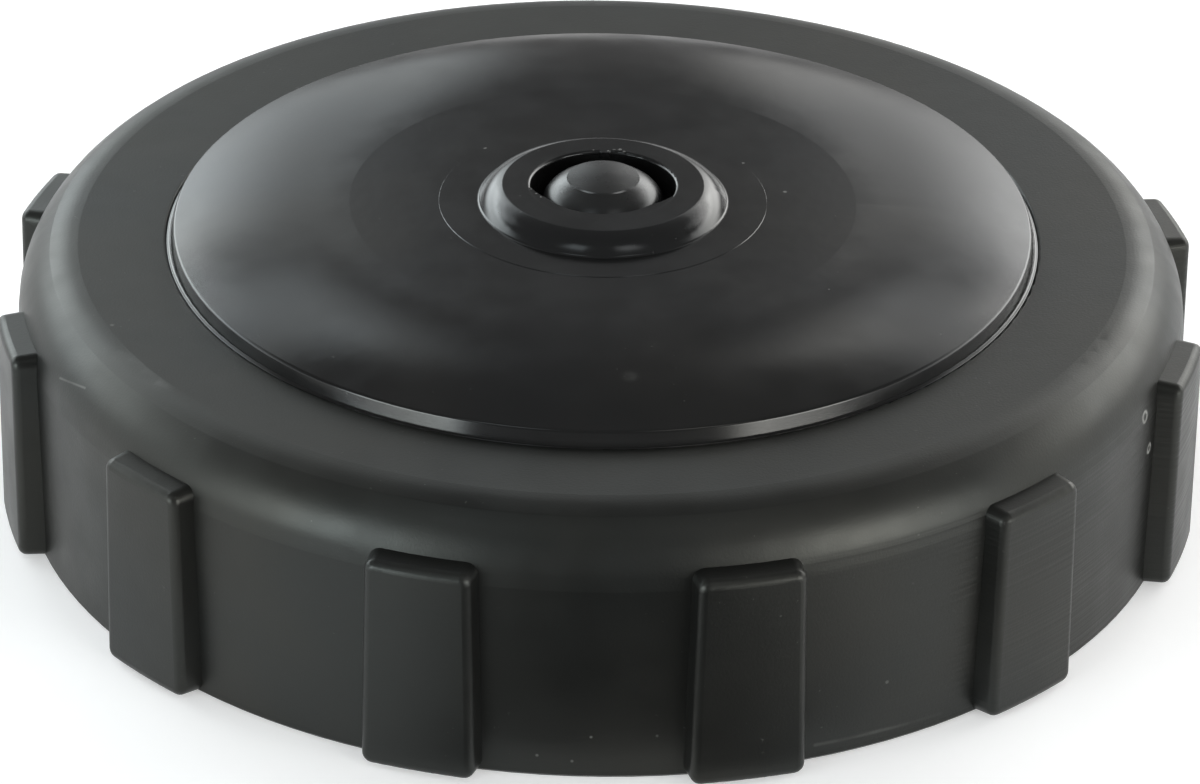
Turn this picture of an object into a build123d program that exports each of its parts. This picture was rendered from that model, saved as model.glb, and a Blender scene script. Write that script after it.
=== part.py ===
from build123d import *
import os
from math import acos, cos, degrees, radians, sin, sqrt, tan

# Fuel filler cap. A ribbed grip ring carries the thread for the filler neck and turns freely round
# a domed centre cover. The cover holds the neck gasket and, in a tube under its boss, a sprung
# relief valve whose button shows in the boss, with a small umbrella valve against vacuum.
# The origin is the centre of the rim that the cap stands on, with +Z up through the button.

# ---- Driving dimensions, in millimetres and degrees -----------------------------------------

# Grip ring: outside
skirt_r = 46.0            # outside of the skirt at its foot
skirt_draft = 0.7         # the skirt widens upwards by this angle
rim_bevel = 0.3           # on the skirt's lower outer edge
lip_z = 21.75             # flat top of the ring, above the rim it stands on
lip_thickness = 2.25
lip_root = 1.0            # bevel in the corner between the lip and the skirt
shoulder_width = 4.6      # from the skirt in to where the lip turns flat
crown_r = 4.8             # first, gentle roll of the shoulder
crown_tilt = 27.0         # slope reached at the end of that roll
crease_r = 0.6            # tight bend that draws a line round the shoulder
crease_turn = 9.0
lip_width = 6.95          # of the flat, from the shoulder in to the cover's opening
opening_round = 0.25

# Grip ring: twelve ribs
rib_count = 12
rib_angle = -76.1         # direction of the first rib, from +X
rib_height = 2.0          # how far a rib's face stands out from the skirt's foot
rib_width_low = 8.7       # width of a rib's face at its foot
rib_width_high = 8.1      # and at its head
rib_foot_z = 0.3
rib_head_drop = 3.95      # from the lip down to a rib's head
rib_draft = 4.5           # the rib's flanks lean back by this angle
rib_round = 0.7           # rounding of the face's edges
rib_corner_r = 0.8        # and of its corners

# Grip ring: inside
skirt_wall = 3.1          # thickness behind the thread
pilot_relief = 1.0        # how far the plain mouth, which finds the neck first, is wider
pilot_depth = 3.0
pilot_chamfer = 0.5
thread_height = 1.75
thread_pitch = 5.0
thread_base = 3.4         # width of the ridge at the wall
thread_crest = 1.5        # width of its crest
thread_run_in = 0.2       # from the relief up to the ridge's lower end
thread_run_out = 0.95     # from its upper end to the undersides of the lugs
lug_count = 6
lug_arc = 16.0            # degrees of wall that each lug takes
lug_catch = 0.7           # how far a lug reaches under the cover's flange
lug_thickness = 0.7
lug_ramp = 1.3            # height of the slope that lets the flange snap past

# Centre cover
wall_gap = 0.25           # between the cover's wall and the ring's opening
turn_gap = 0.3            # between the flange and the faces of the ring that it turns against
insert_gap = 0.25         # between the flange and the thread that it is pushed in past
wall_lean = 0.3           # the wall leans in by this much above the lip
cover_step = 1.08         # from the lip up to the foot of the dome
cover_edge_round = 0.3
dome_rise = 1.79
plateau_r = 20.0          # the dome is flat inside this radius
cover_thickness = 2.2
pad_width = 3.17          # faintly raised disc round the boss
pad_rise = 0.04
flange_thickness = 1.9
wall_thickness = 2.4
collar_depth = 1.1        # collar below the flange that locates the gasket
collar_width = 0.4        # by which it is wider than the wall
stiffener_count = 6
stiffener_thickness = 1.4
stiffener_drop = 1.0      # a stiffener ends this far above the flange's underside

# Boss in the middle of the cover
boss_hole_r = 5.7
boss_wall = 2.25          # at the boss's flat top
boss_rise = 1.43          # above the flat of the dome
boss_lean = 1.85          # its flank widens by this much down to its foot
boss_bulge = 0.25         # the flank swells out by this much from a straight line
boss_round = 0.25         # at the flank's foot and at both edges of the flat top

# Vent tube under the boss
chamber_r = 10.0
chamber_roof = 2.42       # thickness of the cover over the chamber
tube_wall = 2.0
tube_length = 10.7
catch_count = 4           # nibs on the tube that hold the splash baffle
catch_width = 4.0
catch_height = 0.9
catch_reach = 0.8
catch_rise = 2.1          # above the tube's foot

# Neck gasket
gasket_thickness = 2.0
gasket_gap = 0.2          # round the collar that locates it
gasket_edge_gap = 0.4     # to the lugs that turn past it

# Vent plunger, whose head is the button in the boss
button_gap = 0.93         # round the button in its hole
button_sink = 1.55        # from the boss's top down to where the button's head starts to round
button_rise = 2.6         # height of the rounded head, if it had no step
button_rim = 1.9          # width of the head outside its step
button_step = 0.12
button_proud = 0.95       # the button's top stands this far above the boss
plate_gap = 0.4           # round the plate in the chamber
plate_thickness = 1.5
hub_margin = 2.2          # from the plate's edge in to the hub that the washer fits round
hub_depth = 0.4
port_count = 6
port_r = 0.8
port_margin = 1.3         # from the hub's edge in to the ports' centres

# Plunger washer and valve seat
washer_thickness = 1.0
washer_gap = 0.1          # round the hub
washer_edge = 0.25        # it stops this far inside the plate's edge
seat_lip_inset = 1.15     # from the plate's edge in to the middle of the lip it closes on
seat_lip_width = 0.7
seat_lip_height = 0.8
seat_plate = 2.0
seat_flange = 1.2
seat_gap = 0.1            # round the spigot in the tube

# Pressure spring
spring_wire_r = 0.4
spring_wire_sides = 8     # the wire is a fine prism
spring_turns = 3.5
spring_gap = 2.2          # between the coil and the chamber's wall
spring_end_gap = 0.05     # between the wire and the faces it presses on

# Vacuum umbrella
umbrella_margin = 0.5     # it stops this far inside the hub's edge
umbrella_thickness = 0.8
umbrella_edge = 0.3
umbrella_stem_r = 1.0
umbrella_stem_length = 3.6
stem_gap = 0.1

# Splash baffle
baffle_wall = 1.45
baffle_gap = 0.15         # round the tube
baffle_floor = 1.3
baffle_depth = 6.0        # from the tube's foot down to the baffle's underside
baffle_grip = 4.5         # how far its rim reaches up the tube
baffle_window_count = 6
baffle_window_width = 5.5
baffle_window_height = 2.2
baffle_window_sill = 0.3
catch_gap = 0.4           # round a nib in the baffle's catch window

# ---- Sizes that follow from them ------------------------------------------------------------

fuse = 0.3                # how deep an added feature is buried in the wall that carries it
rib_bury = skirt_wall / 3 # a rib's flat back is buried deeper, because the skirt is round

# radii of the ring, from the outside in
rib_face_r = skirt_r + rib_height
lip_flat_r = skirt_r - shoulder_width
opening_r = lip_flat_r - lip_width
bore_r = skirt_r - skirt_wall
pilot_r = bore_r + pilot_relief
thread_crest_r = bore_r - thread_height
flange_r = thread_crest_r - insert_gap
lug_r = flange_r - lug_catch
gasket_r = lug_r - gasket_edge_gap

# radii of the cover, the tube and the valve
wall_r = opening_r - wall_gap
cover_edge_r = wall_r - wall_lean
inner_wall_r = wall_r - wall_thickness
collar_r = wall_r + collar_width
gasket_inner_r = collar_r + gasket_gap
boss_r = boss_hole_r + boss_wall
boss_foot_r = boss_r + boss_lean
pad_r = boss_foot_r + pad_width
tube_r = chamber_r + tube_wall
baffle_inner_r = tube_r + baffle_gap
baffle_r = baffle_inner_r + baffle_wall
button_r = boss_hole_r - button_gap
button_step_r = button_r - button_rim
plate_r = chamber_r - plate_gap
hub_r = plate_r - hub_margin
port_ring_r = hub_r - port_margin
seat_hole_r = hub_r
seat_lip_r = plate_r - seat_lip_inset
spring_mean_r = chamber_r - spring_gap - spring_wire_r
umbrella_r = hub_r - umbrella_margin

# heights, from the lip down to the lugs and up to the boss
lip_under_z = lip_z - lip_thickness
rib_head_z = lip_z - rib_head_drop
flange_top_z = lip_under_z - turn_gap
flange_under_z = flange_top_z - flange_thickness
gasket_face_z = flange_under_z - gasket_thickness
lug_top_z = flange_under_z - turn_gap
lug_under_z = lug_top_z - lug_thickness
cover_edge_z = lip_z + cover_step
plateau_z = cover_edge_z + dome_rise
pad_z = plateau_z + pad_rise
boss_z = plateau_z + boss_rise

# heights of the valve, from the foot of its tube up, and of the baffle round it
chamber_roof_z = plateau_z - chamber_roof
tube_foot_z = chamber_roof_z - tube_length
catch_z = tube_foot_z + catch_rise
seat_flange_z = tube_foot_z - seat_flange
seat_top_z = tube_foot_z + seat_plate
seat_lip_z = seat_top_z + seat_lip_height
plate_under_z = seat_lip_z + washer_thickness
plate_top_z = plate_under_z + plate_thickness
hub_z = plate_under_z - hub_depth
button_equator_z = boss_z - button_sink
button_top_z = boss_z + button_proud
baffle_floor_z = tube_foot_z - baffle_depth
baffle_rim_z = tube_foot_z + baffle_grip

# the dome's arc runs flat into the plateau and through the cover's edge
dome_r = ((cover_edge_r - plateau_r) ** 2 + dome_rise**2) / (2 * dome_rise)
dome_centre_z = plateau_z - dome_r

# the thread climbs from the relief to the lugs, and its ridge starts inside the wall
thread_root = thread_base + fuse * (thread_base - thread_crest) / thread_height
thread_low_z = pilot_depth + thread_run_in + thread_base / 2
thread_high_z = lug_under_z - thread_run_out - thread_base / 2


def dome_height(radius, depth=0.0):
    """Height of the domed shell at a radius, or of the surface that lies a depth under it."""
    return dome_centre_z + sqrt((dome_r - depth) ** 2 - (radius - plateau_r) ** 2)


def corner(sketch, radius, height):
    """The vertex of a section that lies nearest to a radius and a height."""
    return sketch.vertices().sort_by_distance(Vector(radius, height, 0))[0]


# ---- Grip ring ------------------------------------------------------------------------------

# One rib: its face is a drafted trapezoid, rounded to the ring's own curve
with BuildPart() as grip_rib:
    with BuildSketch(Plane.YZ.offset(rib_face_r)) as rib_outline:
        with BuildLine():
            Polyline(
                (-rib_width_low / 2, rib_foot_z),
                (rib_width_low / 2, rib_foot_z),
                (rib_width_high / 2, rib_head_z),
                (-rib_width_high / 2, rib_head_z),
                close=True,
            )
        make_face()
        fillet(rib_outline.vertices(), rib_corner_r)
    extrude(amount=-(rib_height + rib_bury), taper=-rib_draft)
    with BuildSketch(Plane.XY):
        Circle(rib_face_r)
    extrude(amount=lip_z, mode=Mode.INTERSECT)
    fillet(grip_rib.faces().sort_by(Axis.X)[-1].edges(), rib_round)

# One lug: a ramped tooth on the wall, cut from a short turn
with BuildPart() as lug:
    with BuildSketch(Plane.XZ):
        with BuildLine():
            Polyline(
                (bore_r + fuse, lug_under_z - lug_ramp),
                (bore_r, lug_under_z - lug_ramp),
                (lug_r, lug_under_z),
                (lug_r, lug_top_z),
                (bore_r + fuse, lug_top_z),
                close=True,
            )
        make_face()
    revolve(axis=Axis.Z, revolution_arc=lug_arc)

# The thread: a trapezoidal ridge that climbs round the wall
with BuildPart() as thread_ridge:
    with BuildLine() as thread_path:
        Helix(
            pitch=thread_pitch,
            height=thread_high_z - thread_low_z,
            radius=bore_r,
            center=(0, 0, thread_low_z),
        )
    with BuildSketch(
        Plane(origin=thread_path.line @ 0, x_dir=(-1, 0, 0), z_dir=thread_path.line % 0)
    ):
        with BuildLine():
            Polyline(
                (-fuse, -thread_root / 2),
                (thread_height, -thread_crest / 2),
                (thread_height, thread_crest / 2),
                (-fuse, thread_root / 2),
                close=True,
            )
        make_face()
    sweep(is_frenet=True)

with BuildPart() as grip_ring:
    with BuildSketch(Plane.XZ) as ring_section:
        with BuildLine():
            top = Line((opening_r, lip_z), (lip_flat_r, lip_z))
            crown = JernArc(top @ 1, (1, 0), crown_r, -crown_tilt)
            crease = JernArc(crown @ 1, crown % 1, crease_r, -crease_turn)
            # the last roll is as large as it must be to run out along the drafted skirt
            bend = radians(crown_tilt + crease_turn)
            slope = tan(radians(skirt_draft))
            out = cos(radians(skirt_draft)) - sin(bend)
            down = cos(bend) - sin(radians(skirt_draft))
            reach = skirt_r + ((crease @ 1).Y - rim_bevel) * slope - (crease @ 1).X
            shoulder = JernArc(
                crease @ 1,
                crease % 1,
                reach / (out + down * slope),
                -(90 - skirt_draft - crown_tilt - crease_turn),
            )
            Polyline(
                shoulder @ 1,
                (skirt_r, rim_bevel),
                (skirt_r - rim_bevel, 0),
                (pilot_r + pilot_chamfer, 0),
                (pilot_r, pilot_chamfer),
                (pilot_r, pilot_depth),
                (bore_r, pilot_depth),
                (bore_r, lip_under_z),
                (opening_r, lip_under_z),
                top @ 0,
            )
        make_face()
        fillet(corner(ring_section, opening_r, lip_z), opening_round)
        chamfer(corner(ring_section, bore_r, lip_under_z), lip_root)
    revolve(axis=Axis.Z)
    with PolarLocations(0, rib_count, start_angle=rib_angle):
        add(grip_rib.part)
    with PolarLocations(0, lug_count):
        add(lug.part)
    add(thread_ridge.part)

# ---- Centre cover ---------------------------------------------------------------------------

# One stiffener under the dome, from the vent tube to the wall, sunk into all three
with BuildPart() as stiffener:
    with BuildSketch(Plane.XZ):
        with BuildLine():
            Polyline(
                (tube_r - fuse, flange_under_z + stiffener_drop),
                (inner_wall_r + fuse, flange_under_z + stiffener_drop),
                (inner_wall_r + fuse, dome_height(inner_wall_r, cover_thickness / 2)),
                (plateau_r, plateau_z - cover_thickness / 2),
                (tube_r - fuse, plateau_z - cover_thickness / 2),
                close=True,
            )
        make_face()
    extrude(amount=stiffener_thickness / 2, both=True)

# One nib that the splash baffle snaps over, with a slope on its lower side
with BuildPart() as catch:
    with BuildSketch(Plane.XZ):
        with BuildLine():
            Polyline(
                (tube_r - fuse, catch_z - catch_reach),
                (tube_r, catch_z - catch_reach),
                (tube_r + catch_reach, catch_z),
                (tube_r + catch_reach, catch_z + catch_height),
                (tube_r - fuse, catch_z + catch_height),
                close=True,
            )
        make_face()
    extrude(amount=catch_width / 2, both=True)

with BuildPart() as centre_cover:
    with BuildSketch(Plane.XZ) as cover_section:
        with BuildLine():
            Polyline(
                (plateau_r, plateau_z),
                (pad_r, plateau_z),
                (pad_r - pad_rise, pad_z),
                (boss_foot_r, pad_z),
            )
            SagittaArc((boss_foot_r, pad_z), (boss_r, boss_z), -boss_bulge)
            Polyline(
                (boss_r, boss_z),
                (boss_hole_r, boss_z),
                (boss_hole_r, chamber_roof_z),
                (chamber_r, chamber_roof_z),
                (chamber_r, tube_foot_z),
                (tube_r, tube_foot_z),
                (tube_r, plateau_z - cover_thickness),
                (plateau_r, plateau_z - cover_thickness),
            )
            ThreePointArc(
                (plateau_r, plateau_z - cover_thickness),
                (
                    (plateau_r + inner_wall_r) / 2,
                    dome_height((plateau_r + inner_wall_r) / 2, cover_thickness),
                ),
                (inner_wall_r, dome_height(inner_wall_r, cover_thickness)),
            )
            Polyline(
                (inner_wall_r, dome_height(inner_wall_r, cover_thickness)),
                (inner_wall_r, flange_under_z - collar_depth),
                (collar_r, flange_under_z - collar_depth),
                (collar_r, flange_under_z),
                (flange_r, flange_under_z),
                (flange_r, flange_top_z),
                (wall_r, flange_top_z),
                (wall_r, lip_z),
                (cover_edge_r, cover_edge_z),
            )
            ThreePointArc(
                (cover_edge_r, cover_edge_z),
                (
                    (plateau_r + cover_edge_r) / 2,
                    dome_height((plateau_r + cover_edge_r) / 2),
                ),
                (plateau_r, plateau_z),
            )
        make_face()
        fillet(corner(cover_section, cover_edge_r, cover_edge_z), cover_edge_round)
        fillet(
            [
                corner(cover_section, boss_foot_r, pad_z),
                corner(cover_section, boss_r, boss_z),
                corner(cover_section, boss_hole_r, boss_z),
            ],
            boss_round,
        )
    revolve(axis=Axis.Z)
    with PolarLocations(0, stiffener_count):
        add(stiffener.part)
    with PolarLocations(0, catch_count, start_angle=180 / catch_count):
        add(catch.part)

# ---- Neck gasket ----------------------------------------------------------------------------

with BuildPart() as neck_gasket:
    with BuildSketch(Plane.XY.offset(gasket_face_z)):
        Circle(gasket_r)
        Circle(gasket_inner_r, mode=Mode.SUBTRACT)
    extrude(amount=gasket_thickness)

# ---- Vent plunger ---------------------------------------------------------------------------

with BuildPart() as vent_plunger:
    with BuildSketch(Plane.XZ) as plunger_section:
        with BuildLine():
            Polyline(
                (0, button_top_z),
                (0, hub_z),
                (hub_r, hub_z),
                (hub_r, plate_under_z),
                (plate_r, plate_under_z),
                (plate_r, plate_top_z),
                (button_r, plate_top_z),
                (button_r, button_equator_z),
            )
            # the head is rounded up to a small step, and has a flatter dome on that
            head = EllipticalCenterArc(
                (0, button_equator_z),
                button_r,
                button_rise,
                arc_size=degrees(acos(button_step_r / button_r)),
            )
            rise = Line(head @ 1, head @ 1 + Vector(-button_step / 2, button_step))
            crown_rise = button_top_z - (rise @ 1).Y
            RadiusArc(
                rise @ 1,
                (0, button_top_z),
                -((rise @ 1).X ** 2 + crown_rise**2) / (2 * crown_rise),
            )
        make_face()
    revolve(axis=Axis.Z)
    with BuildSketch(Plane.XY.offset(hub_z)):
        with PolarLocations(port_ring_r, port_count):
            Circle(port_r)
    extrude(amount=hub_depth + plate_thickness, mode=Mode.SUBTRACT)
    with BuildSketch(Plane.XY.offset(hub_z)):
        Circle(umbrella_stem_r + stem_gap)
    extrude(amount=umbrella_stem_length + stem_gap, mode=Mode.SUBTRACT)

# ---- Plunger washer -------------------------------------------------------------------------

with BuildPart() as plunger_washer:
    with BuildSketch(Plane.XY.offset(seat_lip_z)):
        Circle(plate_r - washer_edge)
        Circle(hub_r + washer_gap, mode=Mode.SUBTRACT)
    extrude(amount=washer_thickness)

# ---- Vacuum umbrella ------------------------------------------------------------------------

with BuildPart() as vacuum_umbrella:
    with BuildSketch(Plane.XZ):
        with BuildLine():
            Polyline(
                (0, hub_z + umbrella_stem_length),
                (0, hub_z - umbrella_thickness),
                (umbrella_stem_r * 2, hub_z - umbrella_thickness),
                (umbrella_r, hub_z - umbrella_edge),
                (umbrella_r, hub_z),
                (umbrella_stem_r, hub_z),
                (umbrella_stem_r, hub_z + umbrella_stem_length),
                close=True,
            )
        make_face()
    revolve(axis=Axis.Z)
    fillet(vacuum_umbrella.edges().filter_by(GeomType.CIRCLE).sort_by(Axis.Z)[-1], stem_gap * 2)

# ---- Valve seat -----------------------------------------------------------------------------

with BuildPart() as valve_seat:
    with BuildSketch(Plane.XZ) as seat_section:
        with BuildLine():
            Polyline(
                (seat_hole_r, seat_flange_z),
                (tube_r - seat_gap, seat_flange_z),
                (tube_r - seat_gap, tube_foot_z),
                (chamber_r - seat_gap, tube_foot_z),
                (chamber_r - seat_gap, seat_top_z),
                (seat_lip_r + seat_lip_width / 2, seat_top_z),
                (seat_lip_r + seat_lip_width / 2, seat_lip_z),
                (seat_lip_r - seat_lip_width / 2, seat_lip_z),
                (seat_lip_r - seat_lip_width / 2, seat_top_z),
                (seat_hole_r, seat_top_z),
                close=True,
            )
        make_face()
    revolve(axis=Axis.Z)

# ---- Pressure spring ------------------------------------------------------------------------

with BuildPart() as pressure_spring:
    with BuildLine() as spring_path:
        spring_inset = spring_wire_r + spring_end_gap
        spring_rise = chamber_roof_z - plate_top_z - 2 * spring_inset
        Helix(
            pitch=spring_rise / spring_turns,
            height=spring_rise,
            radius=spring_mean_r,
            center=(0, 0, plate_top_z + spring_inset),
        )
    with BuildSketch(
        Plane(origin=spring_path.line @ 0, x_dir=(-1, 0, 0), z_dir=spring_path.line % 0)
    ):
        RegularPolygon(spring_wire_r, spring_wire_sides)
    sweep(is_frenet=True)

# ---- Splash baffle --------------------------------------------------------------------------

with BuildPart() as splash_baffle:
    with BuildSketch(Plane.XZ) as baffle_section:
        with BuildLine():
            Polyline(
                (0, baffle_floor_z),
                (baffle_r, baffle_floor_z),
                (baffle_r, baffle_rim_z),
                (baffle_inner_r, baffle_rim_z),
                (baffle_inner_r, seat_flange_z),
                (chamber_r + seat_gap, seat_flange_z),
                (chamber_r + seat_gap, baffle_floor_z + baffle_floor),
                (0, baffle_floor_z + baffle_floor),
                close=True,
            )
        make_face()
        fillet(corner(baffle_section, baffle_r, baffle_floor_z), baffle_floor / 2)
    revolve(axis=Axis.Z)
    # windows that let vapour reach the seat, just above the floor
    window_z = baffle_floor_z + baffle_floor + baffle_window_sill + baffle_window_height / 2
    for angle in range(baffle_window_count):
        with BuildSketch(Plane.YZ.rotated((0, 0, 360 / baffle_window_count * angle))):
            with Locations((0, window_z)):
                Rectangle(baffle_window_width, baffle_window_height)
        extrude(amount=baffle_r, mode=Mode.SUBTRACT)
    # catch windows for the tube's nibs
    catch_span = catch_reach + catch_height + 2 * catch_gap
    for turn in range(catch_count):
        side = 180 / catch_count + 360 / catch_count * turn
        with BuildSketch(Plane.YZ.rotated((0, 0, side))):
            with Locations((0, catch_z - catch_reach - catch_gap + catch_span / 2)):
                Rectangle(catch_width + 2 * catch_gap, catch_span)
        extrude(amount=baffle_r, mode=Mode.SUBTRACT)

# ---- Labels and files -----------------------------------------------------------------------

os.makedirs("parts", exist_ok=True)
pieces = {
    "grip_ring": grip_ring,
    "centre_cover": centre_cover,
    "neck_gasket": neck_gasket,
    "vent_plunger": vent_plunger,
    "plunger_washer": plunger_washer,
    "vacuum_umbrella": vacuum_umbrella,
    "valve_seat": valve_seat,
    "pressure_spring": pressure_spring,
    "splash_baffle": splash_baffle,
}
for name, piece in pieces.items():
    piece.part.label = name
    export_step(piece.part, f"parts/{name}.step")
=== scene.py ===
from math import cos, pi, radians, sin

import bpy
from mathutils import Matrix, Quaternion, Vector, noise


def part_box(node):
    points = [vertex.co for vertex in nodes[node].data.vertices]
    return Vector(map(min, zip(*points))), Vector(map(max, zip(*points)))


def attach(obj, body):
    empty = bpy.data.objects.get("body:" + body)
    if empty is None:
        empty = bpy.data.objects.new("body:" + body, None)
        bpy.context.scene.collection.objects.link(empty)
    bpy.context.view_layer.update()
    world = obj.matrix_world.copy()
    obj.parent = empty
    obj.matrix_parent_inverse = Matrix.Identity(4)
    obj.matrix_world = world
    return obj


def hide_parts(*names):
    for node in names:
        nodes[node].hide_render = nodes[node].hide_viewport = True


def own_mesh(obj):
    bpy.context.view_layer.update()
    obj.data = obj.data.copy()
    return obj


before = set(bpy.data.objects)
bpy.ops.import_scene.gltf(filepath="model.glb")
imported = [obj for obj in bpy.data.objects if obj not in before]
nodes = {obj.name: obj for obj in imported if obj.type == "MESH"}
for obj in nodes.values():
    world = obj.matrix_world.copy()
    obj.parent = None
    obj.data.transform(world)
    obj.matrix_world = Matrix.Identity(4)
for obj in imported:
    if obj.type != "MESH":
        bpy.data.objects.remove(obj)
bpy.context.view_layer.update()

# Looks of a fuel filler cap: a satin grip ring round a glossy domed cover, black throughout.
# Lengths are in metres, angles in degrees, and azimuths run from +X towards +Y.

MM = 0.001
WHITE = (1.0, 1.0, 1.0, 1.0)

scene = bpy.context.scene


def low(node):
    """Lowest corner of a CAD node."""
    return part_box(node)[0]


def high(node):
    """Highest corner of a CAD node."""
    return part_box(node)[1]


def around(radius, azimuth, height):
    """A point given by its distance from the cap's axis, its azimuth and its height."""
    turn = radians(azimuth)
    return Vector((radius * cos(turn), radius * sin(turn), height))


def add_mesh(name, vertices, faces, smooth=True):
    mesh = bpy.data.meshes.new(name)
    mesh.from_pydata(vertices, [], faces)
    mesh.validate()
    mesh.polygons.foreach_set("use_smooth", [smooth] * len(mesh.polygons))
    piece = bpy.data.objects.new(name, mesh)
    scene.collection.objects.link(piece)
    return piece


# ---- Sizes read from the frame --------------------------------------------------------------


def radii(node, foot, head):
    """Smallest and largest distance from the axis of a CAD node's mesh between two heights."""
    spots = [vertex.co for vertex in nodes[node].data.vertices if foot <= vertex.co.z <= head]
    distances = [spot.to_2d().length for spot in spots]
    return min(distances), max(distances)


lip_z = high("grip_ring")[2]
cover_edge_r = radii("centre_cover", lip_z + 0.2 * MM, high("centre_cover")[2])[1]
opening_r = radii("grip_ring", lip_z - 0.5 * MM, lip_z)[0]
boss_z = high("centre_cover")[2]
hole_r = radii("centre_cover", boss_z - 1.5 * MM, boss_z)[0]
spring_foot = low("pressure_spring")[2]
spring_head = high("pressure_spring")[2]
spring_r = high("pressure_spring")[0]

# ---- Camera ---------------------------------------------------------------------------------

CAMERA_PLACE = Vector((0.0, -0.43195, 0.24853))
CAMERA_AIM = Vector((0.0, 0.0, 0.00727))
CAMERA_LENS = 184.86
CAMERA_SENSOR = 36.0
CAMERA_ROLL = 0.015       # radians about its own line of sight


def make_camera():
    data = bpy.data.cameras.new("camera")
    data.lens = CAMERA_LENS
    data.sensor_width = CAMERA_SENSOR
    data.clip_start = 0.01
    data.clip_end = 100.0
    camera = bpy.data.objects.new("camera", data)
    scene.collection.objects.link(camera)
    sight = (CAMERA_AIM - CAMERA_PLACE).to_track_quat("-Z", "Y")
    camera.rotation_mode = "QUATERNION"
    camera.rotation_quaternion = sight @ Quaternion((0.0, 0.0, 1.0), CAMERA_ROLL)
    camera.location = CAMERA_PLACE
    scene.camera = camera


# ---- Shader helpers -------------------------------------------------------------------------


class Shader:
    """Adds nodes to a node tree. An input's value is a number, a tuple or another node's output."""

    def __init__(self, tree):
        self.tree = tree
        tree.nodes.clear()

    def add(self, kind, inputs=None, output=0, **settings):
        """The output of a new node, by its number or name."""
        node = self.tree.nodes.new("ShaderNode" + kind)
        for name, value in settings.items():
            setattr(node, name, value)
        for name, value in (inputs or {}).items():
            if isinstance(value, bpy.types.NodeSocket):
                self.tree.links.new(value, node.inputs[name])
            else:
                node.inputs[name].default_value = value
        return node.outputs[output] if node.outputs else None

    def split(self, vector):
        """The three parts of a vector."""
        node = self.tree.nodes.new("ShaderNodeSeparateXYZ")
        self.tree.links.new(vector, node.inputs[0])
        return node.outputs["X"], node.outputs["Y"], node.outputs["Z"]

    def math(self, operation, first, second=0.0, third=0.0):
        inputs = {0: first, 1: second, 2: third}
        return self.add("Math", inputs, operation=operation)

    def ramp(self, value, start, end, to_start=0.0, to_end=1.0):
        """value brought smoothly from one range to another, and held at its ends."""
        inputs = {
            "Value": value,
            "From Min": start,
            "From Max": end,
            "To Min": to_start,
            "To Max": to_end,
        }
        return self.add("MapRange", inputs, interpolation_type="SMOOTHSTEP")

    def noise(self, place, scale, detail):
        return self.add("TexNoise", {"Vector": place, "Scale": scale, "Detail": detail})

    def mix(self, factor, first, second):
        """A colour between two others."""
        inputs = {"Factor": factor, 6: first, 7: second}
        return self.add("Mix", inputs, output=2, data_type="RGBA")

    def most(self, masks):
        """The largest of several masks."""
        total = masks[0]
        for mask in masks[1:]:
            total = self.math("MAXIMUM", total, mask)
        return total


def material_tree(name):
    material = bpy.data.materials.new(name)
    material.use_nodes = True
    return material, Shader(material.node_tree)


# ---- Studio ---------------------------------------------------------------------------------

FLOOR_R = 12.0
FLOOR_Z = -0.05 * MM
NEAR = 0.12               # inside this radius the floor shows its own light and shadow
FAR = 0.3                 # outside this one it is plain white
FLOOR_GLOW = 0.36         # a little white of its own, inside the near radius
FILL = 0.30               # the world's even light
STUDIO_R = 3.0
STUDIO_LIGHT = 0.22
BOX_R = 1.3               # distance of the first soft boxes
BOX_STEP = 0.04
CARD_Z = 0.2 * MM
CARD_R = (0.05, 0.5)      # from and to which radius the dark card lies on the floor
CARD_LEFT = (8.0, 27.0)   # it fades out between these azimuths away from straight in front
CARD_RIGHT = (12.0, 40.0)
CARD_LIGHT = 0.12

# The light of the left boxes and of the right ones
LEFT_LIGHT = (0.93, 1.0, 1.02, 1.0)
RIGHT_LIGHT = (1.0, 1.0, 0.985, 1.0)


class SoftBoxes:
    """A pair of soft boxes, left and right. Azimuths are taken away from straight behind."""

    def __init__(self, azimuths, elevations, fades, light):
        self.azimuths = azimuths
        self.elevations = elevations
        self.fades = fades        # at the inner, the outer, and the lower and upper edges
        self.light = light


SOFT_BOXES = {
    "low": SoftBoxes((1.5, 100.0), (2.0, 34.0), (4.0, 20.0, 8.0), 0.95),
    "wing": SoftBoxes((8.0, 99.0), (4.0, 34.0), (18.0, 36.0, 11.0), 3.9),
    "high": SoftBoxes((4.0, 76.0), (31.0, 47.0), (10.0, 20.0, 5.5), 1.35),
    "tall": SoftBoxes((18.0, 74.0), (20.0, 40.0), (8.0, 24.0, 7.0), 3.0),
    "edge": SoftBoxes((74.0, 124.0), (-14.0, 12.0), (12.0, 14.0, 9.0), 1.6),
    "side": SoftBoxes((110.0, 150.0), (-9.0, 29.0), (9.0, 9.0, 9.0), 8.0),
    "front": SoftBoxes((128.0, 166.0), (44.0, 68.0), (12.0, 12.0, 9.0), 1.6),
}


def seen_by_eye(shader):
    """1 for camera, glossy and transmission rays, which all see the white background."""
    kinds = ("Is Camera Ray", "Is Glossy Ray", "Is Transmission Ray")
    return shader.most([shader.add("LightPath", output=kind) for kind in kinds])


def make_world():
    world = bpy.data.worlds.new("studio")
    scene.world = world
    world.use_nodes = True
    shader = Shader(world.node_tree)
    strength = shader.ramp(seen_by_eye(shader), 0.0, 1.0, FILL, 1.0)
    light = shader.add("Background", {"Color": WHITE, "Strength": strength})
    shader.add("OutputWorld", {"Surface": light})


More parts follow.
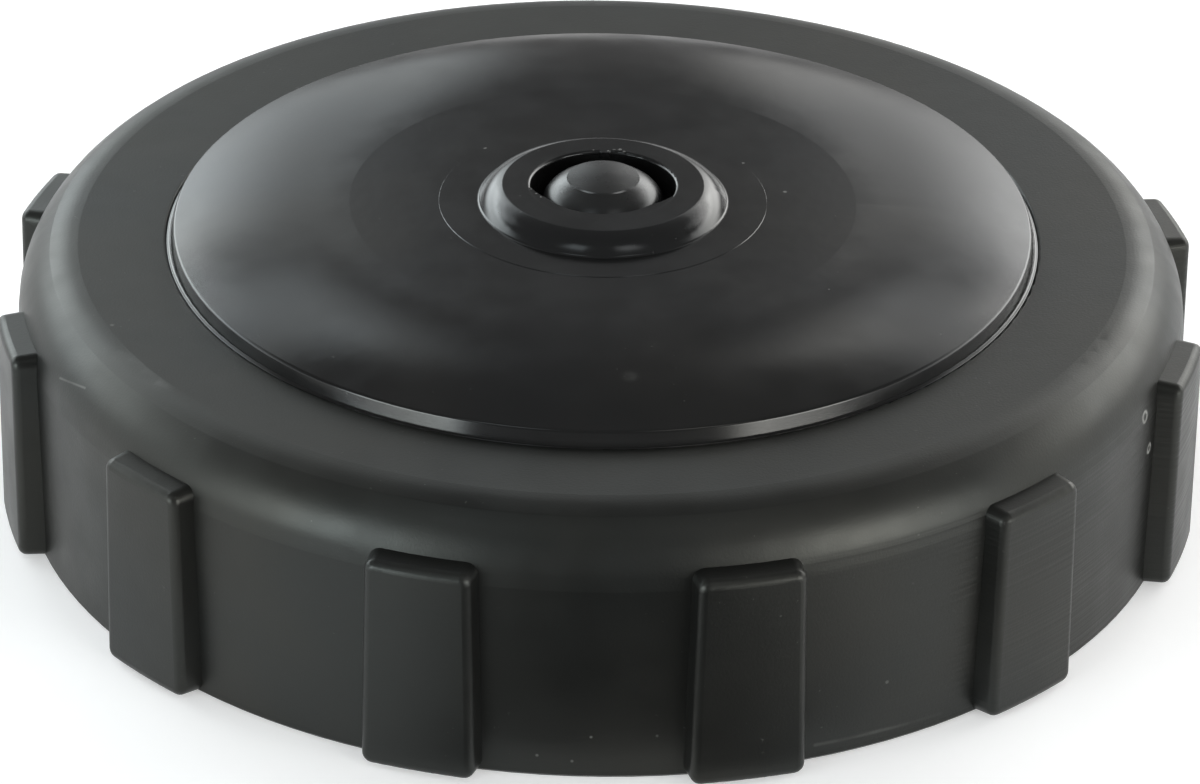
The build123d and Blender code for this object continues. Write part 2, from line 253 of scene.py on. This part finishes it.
def make_floor():
    corners = [around(FLOOR_R, 45.0 + 90.0 * side, FLOOR_Z) for side in range(4)]
    floor = add_mesh("floor", corners, [(0, 1, 2, 3)], smooth=False)
    material, shader = material_tree("pale_floor")
    place = shader.add("NewGeometry", output="Position")
    distance = shader.add("VectorMath", {0: place}, output="Value", operation="LENGTH")
    tone = shader.ramp(shader.noise(place, scale=60.0, detail=4.0), 0.3, 0.7, 0.78, 0.82)
    tone = shader.add("CombineColor", {"Red": tone, "Green": tone, "Blue": tone})
    matte = shader.add("BsdfDiffuse", {"Color": tone})
    eye = seen_by_eye(shader)
    glow = shader.math("MULTIPLY", eye, FLOOR_GLOW)
    glow = shader.add("Emission", {"Color": WHITE, "Strength": glow})
    near = shader.add("AddShader", {0: matte, 1: glow})
    white = shader.add("Emission", {"Color": WHITE, "Strength": 1.0})
    far = shader.math("MULTIPLY", shader.ramp(distance, NEAR, FAR), eye)
    surface = shader.add("MixShader", {"Fac": far, 1: near, 2: white})
    shader.add("OutputMaterial", {"Surface": surface})
    floor.data.materials.append(material)


def make_patch(name, across, up, spot):
    """A curved grid between two ranges, whose points spot(turn, rise) places."""
    steps = 10
    vertices = []
    faces = []
    for row in range(steps + 1):
        rise = up[0] + (up[1] - up[0]) * row / steps
        for column in range(steps + 1):
            vertices.append(spot(across[0] + (across[1] - across[0]) * column / steps, rise))
            if row and column:
                here = len(vertices) - 1
                faces.append((here, here - 1, here - steps - 2, here - steps - 1))
    return add_mesh(name, vertices, faces)


def hide_from(piece, *kinds):
    for kind in kinds:
        setattr(piece, "visible_" + kind, False)


def make_soft_box(name, boxes, side, distance):
    """One soft box, whose light fades out towards its edges."""

    def spot(turn, rise):
        level, height = distance * cos(radians(rise)), distance * sin(radians(rise))
        return around(level, 90.0 - side * turn, height)

    box = make_patch(name, boxes.azimuths, boxes.elevations, spot)
    material, shader = material_tree(name)
    x, y, z = shader.split(shader.add("NewGeometry", output="Position"))
    turn = shader.math("ARCTAN2", shader.math("ABSOLUTE", x), y)
    rise = shader.math("ARCSINE", shader.math("DIVIDE", z, distance))
    inner, outer, level = boxes.fades
    borders = (
        (turn, boxes.azimuths[0], inner),
        (turn, boxes.azimuths[1], -outer),
        (rise, boxes.elevations[0], level),
        (rise, boxes.elevations[1], -level),
    )
    strength = boxes.light
    for angle, border, fade in borders:
        inside = shader.ramp(angle, radians(border), radians(border + fade))
        strength = shader.math("MULTIPLY", inside, strength)
    colour = LEFT_LIGHT if side < 0 else RIGHT_LIGHT
    glow = shader.add("Emission", {"Color": colour, "Strength": strength})
    clear = shader.add("BsdfTransparent")
    shader.add("OutputMaterial", {"Surface": shader.add("AddShader", {0: clear, 1: glow})})
    box.data.materials.append(material)
    hide_from(box, "camera")


def make_dark_studio():
    """The dark studio round the soft boxes, which only reflections see."""
    bpy.ops.mesh.primitive_uv_sphere_add(segments=48, ring_count=24, radius=STUDIO_R)
    room = bpy.context.object
    room.name = "dark_studio"
    material, shader = material_tree("dark_studio")
    dim = shader.add("Emission", {"Color": WHITE, "Strength": STUDIO_LIGHT})
    shader.add("OutputMaterial", {"Surface": dim})
    room.data.materials.append(material)
    hide_from(room, "camera", "diffuse", "transmission", "volume_scatter", "shadow")


def make_card():
    """A dark card on the floor in front, which only reflections see."""

    def spot(turn, distance):
        return around(distance, turn - 90.0, CARD_Z)

    card = make_patch("dark_card", (-CARD_LEFT[1], CARD_RIGHT[1]), CARD_R, spot)
    material, shader = material_tree("dark_card")
    x, y, z = shader.split(shader.add("NewGeometry", output="Position"))
    turn = shader.math("ARCTAN2", x, shader.math("MULTIPLY", y, -1.0))
    left = shader.ramp(turn, -radians(CARD_LEFT[0]), -radians(CARD_LEFT[1]))
    right = shader.ramp(turn, radians(CARD_RIGHT[0]), radians(CARD_RIGHT[1]))
    away = shader.most([left, right])
    dim = shader.add("Emission", {"Color": WHITE, "Strength": CARD_LIGHT})
    surface = shader.add("MixShader", {"Fac": away, 1: dim, 2: shader.add("BsdfTransparent")})
    shader.add("OutputMaterial", {"Surface": surface})
    card.data.materials.append(material)
    hide_from(card, "camera", "diffuse", "transmission", "volume_scatter", "shadow")


def make_studio():
    make_camera()
    make_world()
    make_floor()
    for number, (name, boxes) in enumerate(SOFT_BOXES.items()):
        for side, word in ((-1, "left"), (1, "right")):
            make_soft_box(f"soft_box_{name}_{word}", boxes, side, BOX_R + BOX_STEP * number)
    make_dark_studio()
    make_card()
    scene.view_settings.view_transform = "Standard"


# ---- Materials ------------------------------------------------------------------------------

# The two tints that the shine varies between, for the smooth pieces and for the greenish ring
CLEAR_SHINE = ((0.96, 1.0, 1.03, 1.0), (1.02, 1.01, 0.96, 1.0))
RING_SHINE = ((0.94, 1.0, 0.96, 1.0), (0.99, 1.0, 0.91, 1.0))

PALE = (0.2, 0.2, 0.19, 1.0)        # dust, specks, scratches, drying marks, and painted highlights and glints
GREENISH = (1.0, 1.03, 0.95)
NATURAL = (1.0, 0.97, 0.88)         # uncoloured nylon
IOR = 1.45


def grey(value, tint=(1.0, 1.0, 1.0)):
    """A grey of the given value, times a tint."""
    return (value * tint[0], value * tint[1], value * tint[2], 1.0)


def finish_surface(shader, colour, rough, height, depth, metallic=0.0, shine=WHITE):
    """Closes a material: its colour and roughness, and a relief of the given depth."""
    relief = shader.add(
        "Bump", {"Height": height, "Strength": 1.0, "Distance": depth}, output="Normal"
    )
    surface = shader.add(
        "BsdfPrincipled",
        {
            "Base Color": colour,
            "Roughness": rough,
            "Normal": relief,
            "Metallic": metallic,
            "IOR": IOR,
            "Specular Tint": shine,
        },
    )
    shader.add("OutputMaterial", {"Surface": surface})


def reach(shader, place, spot):
    """Distance from a point given in millimetres."""
    spot = tuple(value * MM for value in spot)
    return shader.add("VectorMath", {0: place, 1: spot}, output="Value", operation="DISTANCE")


def line_reach(shader, place, start, end):
    """Distance from the line between two points given in millimetres."""
    start, end = Vector(start) * MM, Vector(end) * MM
    along = end - start
    inputs = {0: place, 1: tuple(start)}
    gap = shader.add("VectorMath", inputs, output="Vector", operation="SUBTRACT")
    inputs = {0: gap, 1: tuple(along / along.length_squared)}
    share = shader.add("VectorMath", inputs, output="Value", operation="DOT_PRODUCT")
    share = shader.add("Clamp", {"Value": share})
    inputs = {0: tuple(along), "Scale": share}
    near = shader.add("VectorMath", inputs, output="Vector", operation="SCALE")
    return shader.add("VectorMath", {0: gap, 1: near}, output="Value", operation="DISTANCE")


def specks(shader, place, spots, strength=1.0):
    """Pale specks, each given as its place and its radius in millimetres."""
    masks = []
    for *spot, size in spots:
        distance = reach(shader, place, spot)
        masks.append(shader.ramp(distance, size * MM, 0.4 * size * MM, 0.0, strength))
    return shader.most(masks)


def dust(shader, place, amount):
    """Fine dust over the whole piece."""
    grains = shader.noise(place, scale=2600.0, detail=1.0)
    patches = shader.ramp(shader.noise(place, scale=120.0, detail=2.0), 0.45, 0.7)
    grains = shader.math("MULTIPLY", shader.ramp(grains, 0.74, 0.80), patches)
    return shader.math("MULTIPLY", grains, amount)


def plastic(name, dark, light, smooth, rough, grain, depth, wear_and_highlights=None, shine=CLEAR_SHINE):
    """Moulded plastic: cloudy colour and gloss, a fine grain, and pale marks, from wear and painted
    highlights, that a given function returns as a pale mask and a relief."""
    material, shader = material_tree(name)
    place = shader.add("TexCoord", output="Object")
    cloud = shader.ramp(shader.noise(place, scale=90.0, detail=4.0), 0.3, 0.7)
    colour = shader.mix(cloud, dark, light)
    gloss = shader.ramp(shader.noise(place, scale=260.0, detail=3.0), 0.25, 0.75, smooth, rough)
    height = shader.noise(place, scale=grain, detail=3.0)
    tone = shader.mix(shader.ramp(shader.noise(place, scale=45.0, detail=2.0), 0.35, 0.65), *shine)
    if wear_and_highlights:
        pale, relief = wear_and_highlights(shader, place)
        colour = shader.mix(pale, colour, PALE)
        gloss = shader.math("MULTIPLY_ADD", pale, 0.15, gloss)
        height = shader.math("ADD", height, relief)
    finish_surface(shader, colour, gloss, height, depth, shine=tone)
    return material


# Specks on the ring: place and radius, in millimetres
RING_SPECKS = (
    (-37.55, -16.53, 21.75, 0.22),
    (21.76, -40.58, 5.5, 0.2),
    (-4.27, -45.78, 1.9, 0.17),
    (4.6, -45.69, 3.75, 0.2),
    (-0.28, -46.02, 3.7, 0.16),
    (-1.67, -45.96, 1.53, 0.16),
)
SPECK_STRENGTH = 0.35

# Drying marks, each a small ring: place and radius
RING_MARKS = ((41.88, -19.38, 16.62, 0.42), (42.41, -17.98, 13.08, 0.36))

# A scratch, and a painted highlight along the skirt's bottom edge, as the points that they run
# through
RING_SCRATCH = ((-41.41, -19.31, 18.57), (-39.21, -22.51, 19.52))
RING_FOOT_HIGHLIGHT = ((16.45, -42.92, 1.35), (21.23, -40.79, 1.3), (26.01, -37.91, 1.15))


def ring_wear_and_highlight(shader, place):
    """Specks, drying marks, a scratch, a painted highlight along the skirt's bottom edge, and
    turning lines on the skirt.
    """
    masks = [specks(shader, place, RING_SPECKS, SPECK_STRENGTH), dust(shader, place, 0.2)]
    for *spot, size in RING_MARKS:
        edge = shader.math("SUBTRACT", reach(shader, place, spot), size * MM)
        edge = shader.math("ABSOLUTE", edge)
        masks.append(shader.ramp(edge, 0.2 * MM, 0.06 * MM, 0.0, 0.85))
    scratch = line_reach(shader, place, *RING_SCRATCH)
    masks.append(shader.ramp(scratch, 0.14 * MM, 0.03 * MM, 0.0, 0.35))
    x, _, z = shader.split(place)
    # Painted highlight: a patchy pale line along the skirt's bottom edge, right of the front, where
    # that edge catches the light; strongest at its left end.
    fade = shader.ramp(x, 26.0 * MM, 21.0 * MM, 0.03, 0.14)
    patchy = shader.ramp(shader.noise(place, scale=900.0, detail=3.0), 0.25, 0.6, 0.5, 1.0)
    patchy = shader.math("MULTIPLY", patchy, fade)
    for start, end in zip(RING_FOOT_HIGHLIGHT, RING_FOOT_HIGHLIGHT[1:]):
        foot_highlight = shader.ramp(line_reach(shader, place, start, end), 0.24 * MM, 0.06 * MM)
        masks.append(shader.math("MULTIPLY", foot_highlight, patchy))
    level = shader.add("CombineXYZ", {"X": 0.0, "Y": 0.0, "Z": z})
    lines = shader.noise(level, scale=2200.0, detail=2.0)
    below = shader.ramp(z, 19.0 * MM, 17.0 * MM)
    aside = shader.ramp(x, 5.0 * MM, 40.0 * MM, 0.6, 8.0)
    lines = shader.math("MULTIPLY", lines, shader.math("MULTIPLY", below, aside))
    return shader.most(masks), lines


COVER_SPECKS = (
    (-9.51, 8.68, 24.66, 0.2),
    (11.15, 6.8, 24.62, 0.18),
    (14.4, 1.9, 24.62, 0.22),
    (-21.0, 14.0, 24.5, 0.12),
    (17.5, -14.2, 24.6, 0.12),
)
COVER_SPECK_STRENGTH = 0.5
COVER_SMUDGE = (2.24, -27.56, 23.91, 0.9)

# Painted glints along the front-left edge of the button's hole, and pale marks at its back:
# azimuth, distance from the axis and radius
HOLE_GLINTS_AND_MARKS = (
    (-173.0, 5.8, 0.16),
    (-169.0, 5.75, 0.2),
    (-161.0, 5.55, 0.13),
    (-154.0, 5.4, 0.14),
    (74.0, 5.95, 0.16),
    (78.0, 6.2, 0.22),
    (82.0, 6.05, 0.17),
    (86.0, 5.8, 0.2),
    (98.0, 6.0, 0.14),
)


def cover_wear_and_glints(shader, place):
    """Specks, a smudge, painted glints and pale marks round the button's hole, and fine dust."""
    pale = [specks(shader, place, COVER_SPECKS, COVER_SPECK_STRENGTH), dust(shader, place, 0.2)]
    top = boss_z / MM
    # Painted glints: patchy pale spots along the front-left edge of the button's hole, where it
    # catches the light, and pale marks at its back.
    glints_and_marks = [(*around(distance, azimuth, top), size) for azimuth, distance, size in HOLE_GLINTS_AND_MARKS]
    patchy = shader.ramp(shader.noise(place, scale=3200.0, detail=2.0), 0.42, 0.6, 0.0, 0.55)
    pale.append(shader.math("MULTIPLY", specks(shader, place, glints_and_marks), patchy))
    *spot, size = COVER_SMUDGE
    smudge = shader.ramp(reach(shader, place, spot), size * MM, 0.2 * MM, 0.0, 0.12)
    pale.append(shader.math("MULTIPLY", smudge, shader.noise(place, scale=1500.0, detail=3.0)))
    return shader.most(pale), shader.noise(place, scale=25.0, detail=2.0)


def rubber(name, dark, light):
    """Matte rubber with a cloudy colour and some dust."""
    material, shader = material_tree(name)
    place = shader.add("TexCoord", output="Object")
    cloud = shader.ramp(shader.noise(place, scale=140.0, detail=4.0), 0.3, 0.7)
    colour = shader.mix(cloud, grey(dark), grey(light))
    colour = shader.mix(dust(shader, place, 0.5), colour, PALE)
    rough = shader.ramp(shader.noise(place, scale=400.0, detail=3.0), 0.3, 0.7, 0.55, 0.75)
    finish_surface(shader, colour, rough, shader.noise(place, scale=3500.0, detail=4.0), 0.02 * MM)
    return material


def spring_wire(name):
    """Drawn steel with an oily tint."""
    material, shader = material_tree(name)
    place = shader.add("TexCoord", output="Object")
    cloud = shader.ramp(shader.noise(place, scale=300.0, detail=3.0), 0.3, 0.7)
    colour = shader.mix(cloud, (0.5, 0.49, 0.46, 1.0), (0.62, 0.61, 0.59, 1.0))
    rough = shader.ramp(shader.noise(place, scale=900.0, detail=3.0), 0.3, 0.7, 0.22, 0.38)
    height = shader.noise(place, scale=5000.0, detail=2.0)
    finish_surface(shader, colour, rough, height, 0.006 * MM, metallic=1.0)
    return material


def dress(node, material):
    """Gives a CAD node a better material."""
    nodes[node].data.materials.clear()
    nodes[node].data.materials.append(material)


# A plastic's grain is the scale of the noise that its relief is made of
cover_plastic = plastic(
    "cover_plastic",
    dark=grey(0.005),
    light=grey(0.007),
    smooth=0.12,
    rough=0.18,
    grain=900.0,
    depth=0.003 * MM,
    wear_and_highlights=cover_wear_and_glints,
)


def dress_solids():
    finishes = {
        "grip_ring": plastic(
            "ring_plastic",
            dark=grey(0.0035, GREENISH),
            light=grey(0.0055, GREENISH),
            smooth=0.37,
            rough=0.44,
            grain=5000.0,
            depth=0.01 * MM,
            wear_and_highlights=ring_wear_and_highlight,
            shine=RING_SHINE,
        ),
        "centre_cover": cover_plastic,
        "vent_plunger": plastic(
            "button_plastic",
            dark=grey(0.007),
            light=grey(0.010),
            smooth=0.24,
            rough=0.32,
            grain=900.0,
            depth=0.003 * MM,
        ),
        "neck_gasket": rubber("gasket_rubber", 0.016, 0.028),
        "plunger_washer": rubber("washer_rubber", 0.03, 0.045),
        "vacuum_umbrella": rubber("umbrella_rubber", 0.028, 0.04),
        "valve_seat": plastic(
            "seat_plastic",
            dark=grey(0.55, NATURAL),
            light=grey(0.62, NATURAL),
            smooth=0.34,
            rough=0.46,
            grain=2000.0,
            depth=0.01 * MM,
        ),
        "splash_baffle": plastic(
            "baffle_plastic",
            dark=grey(0.02),
            light=grey(0.03),
            smooth=0.34,
            rough=0.46,
            grain=4000.0,
            depth=0.01 * MM,
        ),
    }
    for node, material in finishes.items():
        dress(node, material)


# ---- Pieces ---------------------------------------------------------------------------------


def band(here, there, count):
    """The faces between two closed rows of vertices, which start at here and there."""
    for point in range(count):
        after = (point + 1) % count
        yield here + point, here + after, there + after, there + point


def lathe(name, profile, steps=360):
    """A ring swept from a closed profile of (radius, height) points."""
    count = len(profile)
    vertices = []
    faces = []
    for step in range(steps):
        azimuth = 360.0 * step / steps
        vertices.extend(around(radius, azimuth, height) for radius, height in profile)
        faces.extend(band((step + 1) % steps * count, step * count, count))
    return add_mesh(name, vertices, faces)


FOOT_INSET = 0.1 * MM     # from the wall's inmost point out to where the foot starts
FOOT_GAP = 0.02 * MM      # left to the ring's opening
FOOT_RISE = 0.32 * MM     # height of the curve
FOOT_DROP = 0.06 * MM     # from the ring's lip down to the curve's lower end
FOOT_THICKNESS = 0.3 * MM
FOOT_STEPS = 8


def make_cover_foot():
    """Hollow curve at the foot of the cover's wall, which all but closes the gap round it."""
    inner_r = cover_edge_r + FOOT_INSET
    outer_r = opening_r - FOOT_GAP
    foot_z = lip_z - FOOT_DROP
    profile = [(inner_r, foot_z - FOOT_THICKNESS), (outer_r, foot_z - FOOT_THICKNESS)]
    for step in range(FOOT_STEPS + 1):
        turn = radians(90.0 * step / FOOT_STEPS)
        share_r, share_z = 1.0 - sin(turn), 1.0 - cos(turn)
        profile.append((inner_r + (outer_r - inner_r) * share_r, foot_z + FOOT_RISE * share_z))
    foot = lathe("cover_foot", profile)
    foot.data.materials.append(cover_plastic)
    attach(foot, "cover")


# Moulding flash on the edge of the button's hole, in millimetres: azimuths, and how far it
# reaches inwards
FLASHES = ((-172.0, -20.0, 0.66), (84.0, 93.0, 0.22))
FLASH_TAPER = 2.2         # the higher, the shorter its ends taper
FLASH_RAGGED = 0.12       # share by which its reach varies
FLASH_WAVES = 0.35        # how often it varies along the edge
FLASH_LEAST = 0.02        # its reach at the ends
FLASH_ROOT = 0.32         # how far it goes into the boss
FLASH_TOP = -0.002        # its upper side and its lower side, from the boss's top
FLASH_FOOT = -0.45
FLASH_EDGE = 0.03         # the bevel of its upper edge


def make_flash():
    """The flash, as strips swept along the hole's edge."""
    vertices = []
    faces = []
    for start, end, inwards in FLASHES:
        steps = int(end - start) * 2
        for step in range(steps + 1):
            azimuth = start + (end - start) * step / steps
            ragged = 1.0 + FLASH_RAGGED * noise.noise(Vector((azimuth * FLASH_WAVES, start, 0.0)))
            swell = min(1.0, FLASH_TAPER * sin(pi * step / steps)) * ragged
            tip_r = hole_r - max(inwards * swell, FLASH_LEAST) * MM
            root_r = hole_r + FLASH_ROOT * MM
            section = (
                (root_r, FLASH_TOP),
                (tip_r + FLASH_EDGE * MM, FLASH_TOP),
                (tip_r, -FLASH_EDGE),
                (tip_r, FLASH_FOOT),
                (root_r, FLASH_FOOT),
            )
            here = len(vertices)
            vertices.extend(around(radius, azimuth, boss_z + drop * MM) for radius, drop in section)
            count = len(section)
            if step == 0:
                faces.append(tuple(range(here, here + count)))
            else:
                faces.extend(band(here, here - count, count))
            if step == steps:
                faces.append(tuple(reversed(range(here, here + count))))
    flash = add_mesh("hole_flash", vertices, faces, smooth=False)
    flash.data.materials.append(cover_plastic)
    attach(flash, "cover")


SPRING_TURNS = 3.5
SPRING_WIRE_R = 0.4 * MM
STEPS_A_TURN = 72
WIRE_STEPS = 20           # round the wire


def make_spring():
    """The round wire of the pressure spring."""
    coil_r = spring_r - SPRING_WIRE_R
    foot = spring_foot + SPRING_WIRE_R
    rise = spring_head - SPRING_WIRE_R - foot
    climb = rise / radians(360.0 * SPRING_TURNS)
    steps = int(SPRING_TURNS * STEPS_A_TURN)
    vertices = []
    faces = []
    for step in range(steps + 1):
        azimuth = 360.0 * SPRING_TURNS * step / steps
        middle = around(coil_r, azimuth, foot + rise * step / steps)
        outwards = around(1.0, azimuth, 0.0)
        ahead = Vector((-outwards.y * coil_r, outwards.x * coil_r, climb))
        upwards = outwards.cross(ahead.normalized())
        for side in range(WIRE_STEPS):
            turn = 2.0 * pi * side / WIRE_STEPS
            vertices.append(middle + SPRING_WIRE_R * (cos(turn) * outwards + sin(turn) * upwards))
        if step:
            here = step * WIRE_STEPS
            faces.extend(band(here, here - WIRE_STEPS, WIRE_STEPS))
    faces.append(tuple(range(WIRE_STEPS)))
    faces.append(tuple(reversed(range(steps * WIRE_STEPS, (steps + 1) * WIRE_STEPS))))
    spring = add_mesh("round_spring", vertices, faces)
    spring.data.materials.append(spring_wire("spring_steel"))
    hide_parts("pressure_spring")
    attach(spring, "cover")
    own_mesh(spring)


make_studio()
dress_solids()
make_cover_foot()
make_flash()
make_spring()
